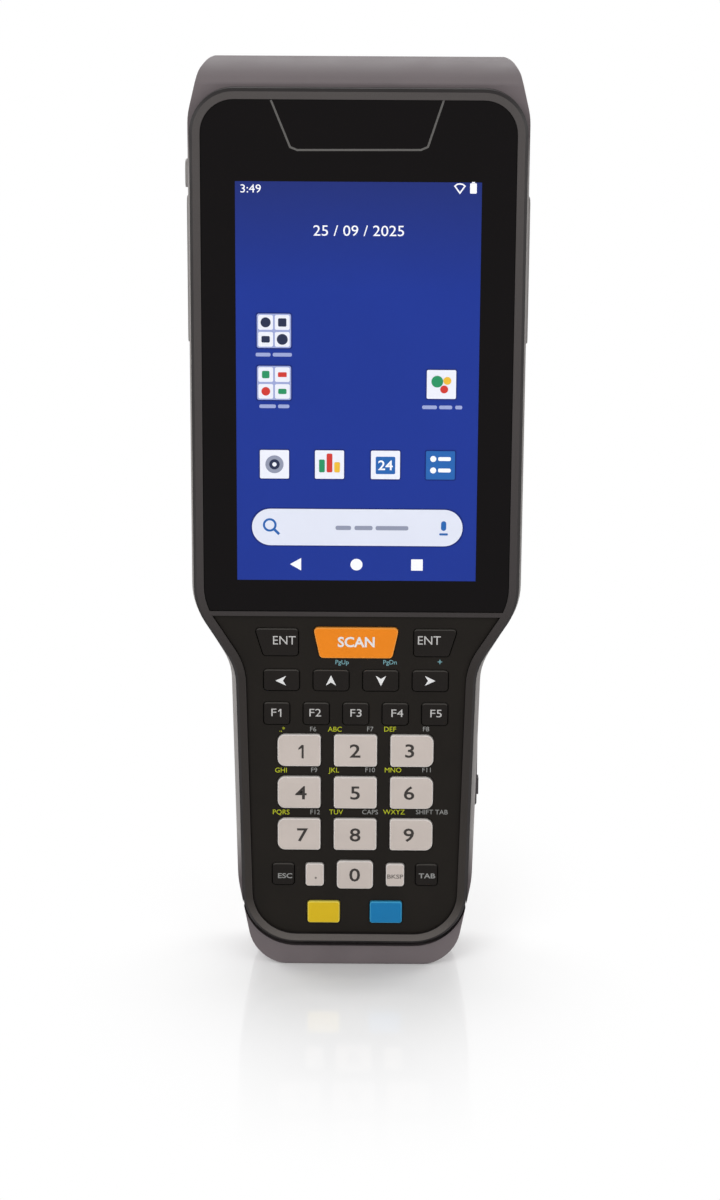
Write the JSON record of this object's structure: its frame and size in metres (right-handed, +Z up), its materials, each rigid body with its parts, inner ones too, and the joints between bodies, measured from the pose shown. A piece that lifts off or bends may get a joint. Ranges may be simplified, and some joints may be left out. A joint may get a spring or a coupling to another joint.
{
  "type": "portable barcode data terminal",
  "caption": "Rugged handheld barcode terminal with touch display, keypad, side triggers, a rear battery door and a charging end it stands on.",
  "frame": {"origin": "centre of the bounding box's footprint, on the flat bottom end", "axes": "+X to the right seen from the front, +Y to the back, +Z up along the terminal, away from the charging contacts"},
  "size_m": [0.0787, 0.034, 0.2163],
  "materials": {
    "frame_rubber": "moulded, fine grain",
    "touch_glass": "polished black glass",
    "black_foam": "soft seal",
    "display_metal": "rolled",
    "panel_plastic": "fine moulded grain",
    "membrane_rubber": "silicone",
    "board_green": "solder mask",
    "dome_steel": "stamped",
    "housing_plastic": "fine moulded grain",
    "door_plastic": "fine moulded grain",
    "latch_plastic": "moulded",
    "battery_plastic": "moulded",
    "pin_steel": "ground",
    "contact_gold": "plated",
    "chassis_metal": "cast",
    "screw_steel": "blackened",
    "insert_brass": "knurled",
    "scan_glass": "dark red tint",
    "engine_plastic": "moulded",
    "camera_glass": "polished",
    "flash_plastic": "diffusing",
    "trigger_plastic": "moulded",
    "port_steel": "stamped",
    "cover_rubber": "moulded",
    "pale_key": "satin keycap",
    "dark_key": "satin keycap",
    "yellow_key": "satin keycap",
    "blue_key": "satin keycap",
    "orange_key": "satin keycap"
  },
  "bodies": {
    "terminal": {"front_frame": "frame_rubber", "touch_panel": "touch_glass", "display_gasket": "black_foam", "display_module": "display_metal", "keypad_panel": "panel_plastic", "keypad_membrane": "membrane_rubber", "keypad_board": "board_green", "key_domes": "dome_steel", "rear_housing": "housing_plastic", "battery_pack": "battery_plastic", "hinge_pin": "pin_steel", "battery_contacts": "contact_gold", "chassis": "chassis_metal", "housing_seal": "black_foam", "housing_screws": "screw_steel", "threaded_inserts": "insert_brass", "main_board": "board_green", "scan_window": "scan_glass", "scan_engine": "engine_plastic", "camera_window": "camera_glass", "flash_lens": "flash_plastic", "camera_module": "engine_plastic", "speaker": "engine_plastic", "charging_contacts": "contact_gold", "side_switches": "engine_plastic", "port_connector": "port_steel"},
    "battery_door": {"battery_door": "door_plastic"},
    "battery_latch": {"battery_latch": "latch_plastic"},
    "port_cover": {"port_cover": "cover_rubber"},
    "side_trigger_left": {"side_trigger_left": "trigger_plastic"},
    "side_trigger_right": {"side_trigger_right": "trigger_plastic"},
    "power_key": {"power_key": "trigger_plastic"},
    "key_0": {"key_0": "pale_key"},
    "key_1": {"key_1": "pale_key"},
    "key_2": {"key_2": "pale_key"},
    "key_3": {"key_3": "pale_key"},
    "key_4": {"key_4": "pale_key"},
    "key_5": {"key_5": "pale_key"},
    "key_6": {"key_6": "pale_key"},
    "key_7": {"key_7": "pale_key"},
    "key_8": {"key_8": "pale_key"},
    "key_9": {"key_9": "pale_key"},
    "key_point": {"key_point": "pale_key"},
    "key_backspace": {"key_backspace": "pale_key"},
    "key_yellow": {"key_yellow": "yellow_key"},
    "key_blue": {"key_blue": "blue_key"},
    "key_scan": {"key_scan": "orange_key"},
    "key_escape": {"key_escape": "dark_key"},
    "key_tab": {"key_tab": "dark_key"},
    "key_enter_left": {"key_enter_left": "dark_key"},
    "key_enter_right": {"key_enter_right": "dark_key"},
    "key_arrow_left": {"key_arrow_left": "dark_key"},
    "key_arrow_up": {"key_arrow_up": "dark_key"},
    "key_arrow_down": {"key_arrow_down": "dark_key"},
    "key_arrow_right": {"key_arrow_right": "dark_key"},
    "key_f1": {"key_f1": "dark_key"},
    "key_f2": {"key_f2": "dark_key"},
    "key_f3": {"key_f3": "dark_key"},
    "key_f4": {"key_f4": "dark_key"},
    "key_f5": {"key_f5": "dark_key"}
  },
  "joints": [
    {"name": "battery_door_swing", "type": "hinge", "parent": "terminal", "child": "battery_door", "pos_m": [0, 0.0078, 0.0132], "axis": [-1, 0, 0], "range_deg": [0, 95]},
    {"name": "battery_latch_slide", "type": "slide", "parent": "battery_door", "child": "battery_latch", "axis": [0, 0, 1], "range_m": [0, 0.0025]},
    {"name": "port_cover_swing", "type": "hinge", "parent": "terminal", "child": "port_cover", "pos_m": [0.02845, -0.00815, 0.0405], "axis": [0, 1, 0], "range_deg": [0, 90]},
    {"name": "side_trigger_left_press", "type": "slide", "parent": "terminal", "child": "side_trigger_left", "axis": [1, 0, 0], "range_m": [0, 0.0005], "stiffness_N_per_m": 900, "springref_m": -0.0004},
    {"name": "side_trigger_right_press", "type": "slide", "parent": "terminal", "child": "side_trigger_right", "axis": [-1, 0, 0], "range_m": [0, 0.0005], "stiffness_N_per_m": 900, "springref_m": -0.0004},
    {"name": "power_key_press", "type": "slide", "parent": "terminal", "child": "power_key", "axis": [1, 0, 0], "range_m": [0, 0.0005], "stiffness_N_per_m": 900, "springref_m": -0.0004},
    {"name": "key_0_press", "type": "slide", "parent": "terminal", "child": "key_0", "axis": [0, 1, 0], "range_m": [0, 0.0006], "stiffness_N_per_m": 900, "springref_m": -0.0004},
    {"name": "key_1_press", "type": "slide", "parent": "terminal", "child": "key_1", "axis": [0, 1, 0], "range_m": [0, 0.0006], "stiffness_N_per_m": 900, "springref_m": -0.0004},
    {"name": "key_2_press", "type": "slide", "parent": "terminal", "child": "key_2", "axis": [0, 1, 0], "range_m": [0, 0.0006], "stiffness_N_per_m": 900, "springref_m": -0.0004},
    {"name": "key_3_press", "type": "slide", "parent": "terminal", "child": "key_3", "axis": [0, 1, 0], "range_m": [0, 0.0006], "stiffness_N_per_m": 900, "springref_m": -0.0004},
    {"name": "key_4_press", "type": "slide", "parent": "terminal", "child": "key_4", "axis": [0, 1, 0], "range_m": [0, 0.0006], "stiffness_N_per_m": 900, "springref_m": -0.0004},
    {"name": "key_5_press", "type": "slide", "parent": "terminal", "child": "key_5", "axis": [0, 1, 0], "range_m": [0, 0.0006], "stiffness_N_per_m": 900, "springref_m": -0.0004},
    {"name": "key_6_press", "type": "slide", "parent": "terminal", "child": "key_6", "axis": [0, 1, 0], "range_m": [0, 0.0006], "stiffness_N_per_m": 900, "springref_m": -0.0004},
    {"name": "key_7_press", "type": "slide", "parent": "terminal", "child": "key_7", "axis": [0, 1, 0], "range_m": [0, 0.0006], "stiffness_N_per_m": 900, "springref_m": -0.0004},
    {"name": "key_8_press", "type": "slide", "parent": "terminal", "child": "key_8", "axis": [0, 1, 0], "range_m": [0, 0.0006], "stiffness_N_per_m": 900, "springref_m": -0.0004},
    {"name": "key_9_press", "type": "slide", "parent": "terminal", "child": "key_9", "axis": [0, 1, 0], "range_m": [0, 0.0006], "stiffness_N_per_m": 900, "springref_m": -0.0004},
    {"name": "key_point_press", "type": "slide", "parent": "terminal", "child": "key_point", "axis": [0, 1, 0], "range_m": [0, 0.0006], "stiffness_N_per_m": 900, "springref_m": -0.0004},
    {"name": "key_backspace_press", "type": "slide", "parent": "terminal", "child": "key_backspace", "axis": [0, 1, 0], "range_m": [0, 0.0006], "stiffness_N_per_m": 900, "springref_m": -0.0004},
    {"name": "key_yellow_press", "type": "slide", "parent": "terminal", "child": "key_yellow", "axis": [0, 1, 0], "range_m": [0, 0.0006], "stiffness_N_per_m": 900, "springref_m": -0.0004},
    {"name": "key_blue_press", "type": "slide", "parent": "terminal", "child": "key_blue", "axis": [0, 1, 0], "range_m": [0, 0.0006], "stiffness_N_per_m": 900, "springref_m": -0.0004},
    {"name": "key_scan_press", "type": "slide", "parent": "terminal", "child": "key_scan", "axis": [0, 1, 0], "range_m": [0, 0.0006], "stiffness_N_per_m": 900, "springref_m": -0.0004},
    {"name": "key_escape_press", "type": "slide", "parent": "terminal", "child": "key_escape", "axis": [0, 1, 0], "range_m": [0, 0.0006], "stiffness_N_per_m": 900, "springref_m": -0.0004},
    {"name": "key_tab_press", "type": "slide", "parent": "terminal", "child": "key_tab", "axis": [0, 1, 0], "range_m": [0, 0.0006], "stiffness_N_per_m": 900, "springref_m": -0.0004},
    {"name": "key_enter_left_press", "type": "slide", "parent": "terminal", "child": "key_enter_left", "axis": [0, 1, 0], "range_m": [0, 0.0006], "stiffness_N_per_m": 900, "springref_m": -0.0004},
    {"name": "key_enter_right_press", "type": "slide", "parent": "terminal", "child": "key_enter_right", "axis": [0, 1, 0], "range_m": [0, 0.0006], "stiffness_N_per_m": 900, "springref_m": -0.0004},
    {"name": "key_arrow_left_press", "type": "slide", "parent": "terminal", "child": "key_arrow_left", "axis": [0, 1, 0], "range_m": [0, 0.0006], "stiffness_N_per_m": 900, "springref_m": -0.0004},
    {"name": "key_arrow_up_press", "type": "slide", "parent": "terminal", "child": "key_arrow_up", "axis": [0, 1, 0], "range_m": [0, 0.0006], "stiffness_N_per_m": 900, "springref_m": -0.0004},
    {"name": "key_arrow_down_press", "type": "slide", "parent": "terminal", "child": "key_arrow_down", "axis": [0, 1, 0], "range_m": [0, 0.0006], "stiffness_N_per_m": 900, "springref_m": -0.0004},
    {"name": "key_arrow_right_press", "type": "slide", "parent": "terminal", "child": "key_arrow_right", "axis": [0, 1, 0], "range_m": [0, 0.0006], "stiffness_N_per_m": 900, "springref_m": -0.0004},
    {"name": "key_f1_press", "type": "slide", "parent": "terminal", "child": "key_f1", "axis": [0, 1, 0], "range_m": [0, 0.0006], "stiffness_N_per_m": 900, "springref_m": -0.0004},
    {"name": "key_f2_press", "type": "slide", "parent": "terminal", "child": "key_f2", "axis": [0, 1, 0], "range_m": [0, 0.0006], "stiffness_N_per_m": 900, "springref_m": -0.0004},
    {"name": "key_f3_press", "type": "slide", "parent": "terminal", "child": "key_f3", "axis": [0, 1, 0], "range_m": [0, 0.0006], "stiffness_N_per_m": 900, "springref_m": -0.0004},
    {"name": "key_f4_press", "type": "slide", "parent": "terminal", "child": "key_f4", "axis": [0, 1, 0], "range_m": [0, 0.0006], "stiffness_N_per_m": 900, "springref_m": -0.0004},
    {"name": "key_f5_press", "type": "slide", "parent": "terminal", "child": "key_f5", "axis": [0, 1, 0], "range_m": [0, 0.0006], "stiffness_N_per_m": 900, "springref_m": -0.0004}
  ]
}
